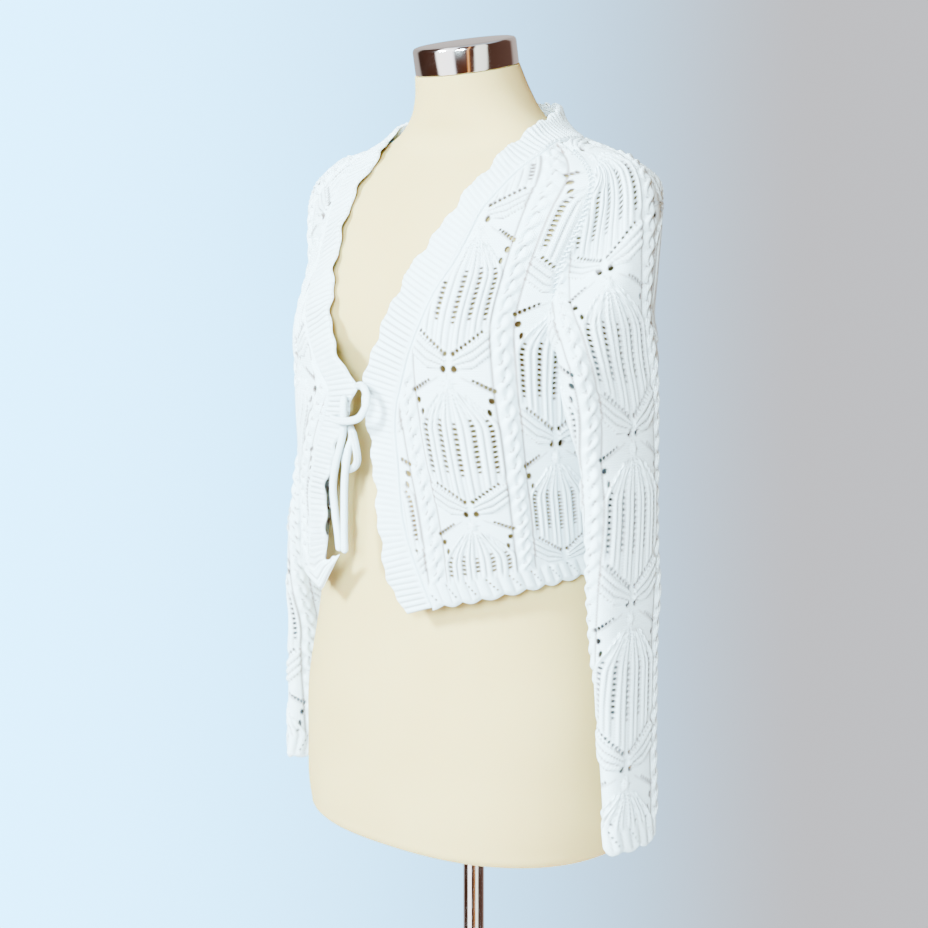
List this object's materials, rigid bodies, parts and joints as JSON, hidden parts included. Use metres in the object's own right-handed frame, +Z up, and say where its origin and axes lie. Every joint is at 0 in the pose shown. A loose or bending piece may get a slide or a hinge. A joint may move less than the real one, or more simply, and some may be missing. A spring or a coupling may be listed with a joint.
{
  "type": "tie-front cropped cardigan on a dress form",
  "caption": "White openwork knit cropped cardigan with long raglan sleeves, ribbed scalloped front band and a cord tie, worn by a cream limbless dress form on a chrome pole stand.",
  "frame": {"origin": "on the floor at the centre of the round base, under the pole", "axes": "+Z up the pole to the neck, -Y the way the form faces, +X towards the wearer's left sleeve"},
  "size_m": [0.4312, 0.34, 1.3602],
  "materials": {
    "white_cotton_knit": "matte openwork knit",
    "cream_jersey": "matte smooth jersey",
    "polished_chrome": "polished"
  },
  "bodies": {
    "root": {"back": "white_cotton_knit", "band_left": "white_cotton_knit", "band_right": "white_cotton_knit", "base_plate": "polished_chrome", "bow_loop": "white_cotton_knit", "form_torso": "cream_jersey", "front_left": "white_cotton_knit", "front_right": "white_cotton_knit", "neck_cap": "polished_chrome", "sleeve_left_back": "white_cotton_knit", "sleeve_left_front": "white_cotton_knit", "sleeve_right_back": "white_cotton_knit", "sleeve_right_front": "white_cotton_knit", "stand_pole": "polished_chrome", "stand_tube": "polished_chrome", "tie_left": "white_cotton_knit", "tie_right": "white_cotton_knit"}
  },
  "joints": []
}
